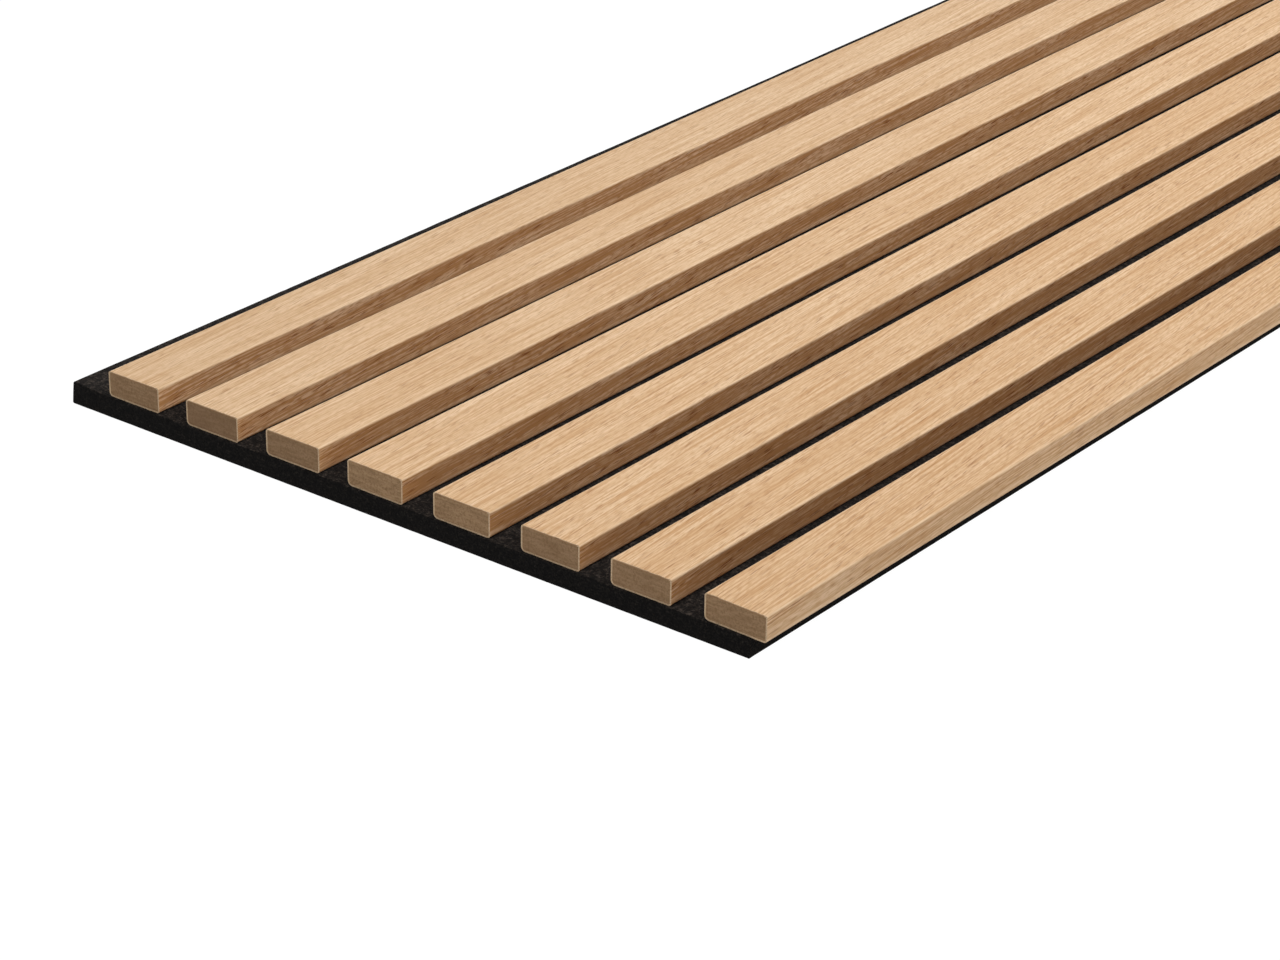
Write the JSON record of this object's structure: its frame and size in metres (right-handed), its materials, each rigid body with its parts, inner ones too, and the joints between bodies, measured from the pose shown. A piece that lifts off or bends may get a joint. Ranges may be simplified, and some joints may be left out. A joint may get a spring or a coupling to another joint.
{
  "type": "acoustic slat wall panel",
  "caption": "Wall panel of oak-veneered fibreboard slats, evenly spaced and fixed on a black felt board that is offset so that panels join side by side.",
  "frame": {"origin": "bottom centre of the panel's box, on the felt's back face", "axes": "+X across the slats, +Y along the slats, +Z out of the wall towards the room"},
  "size_m": [0.324, 2.4, 0.0182],
  "materials": {
    "oak_veneer": "matt lacquered oak",
    "fibreboard": "sawn fibreboard",
    "pet_felt": "needled polyester felt",
    "staple_wire": "galvanised wire"
  },
  "bodies": {
    "root": {"felt_backing": "pet_felt", "slat_1_core": "fibreboard", "slat_1_veneer": "oak_veneer", "slat_1_staples": "staple_wire", "slat_2_core": "fibreboard", "slat_2_veneer": "oak_veneer", "slat_2_staples": "staple_wire", "slat_3_core": "fibreboard", "slat_3_veneer": "oak_veneer", "slat_3_staples": "staple_wire", "slat_4_core": "fibreboard", "slat_4_veneer": "oak_veneer", "slat_4_staples": "staple_wire", "slat_5_core": "fibreboard", "slat_5_veneer": "oak_veneer", "slat_5_staples": "staple_wire", "slat_6_core": "fibreboard", "slat_6_veneer": "oak_veneer", "slat_6_staples": "staple_wire", "slat_7_core": "fibreboard", "slat_7_veneer": "oak_veneer", "slat_7_staples": "staple_wire", "slat_8_core": "fibreboard", "slat_8_veneer": "oak_veneer", "slat_8_staples": "staple_wire"}
  },
  "joints": []
}
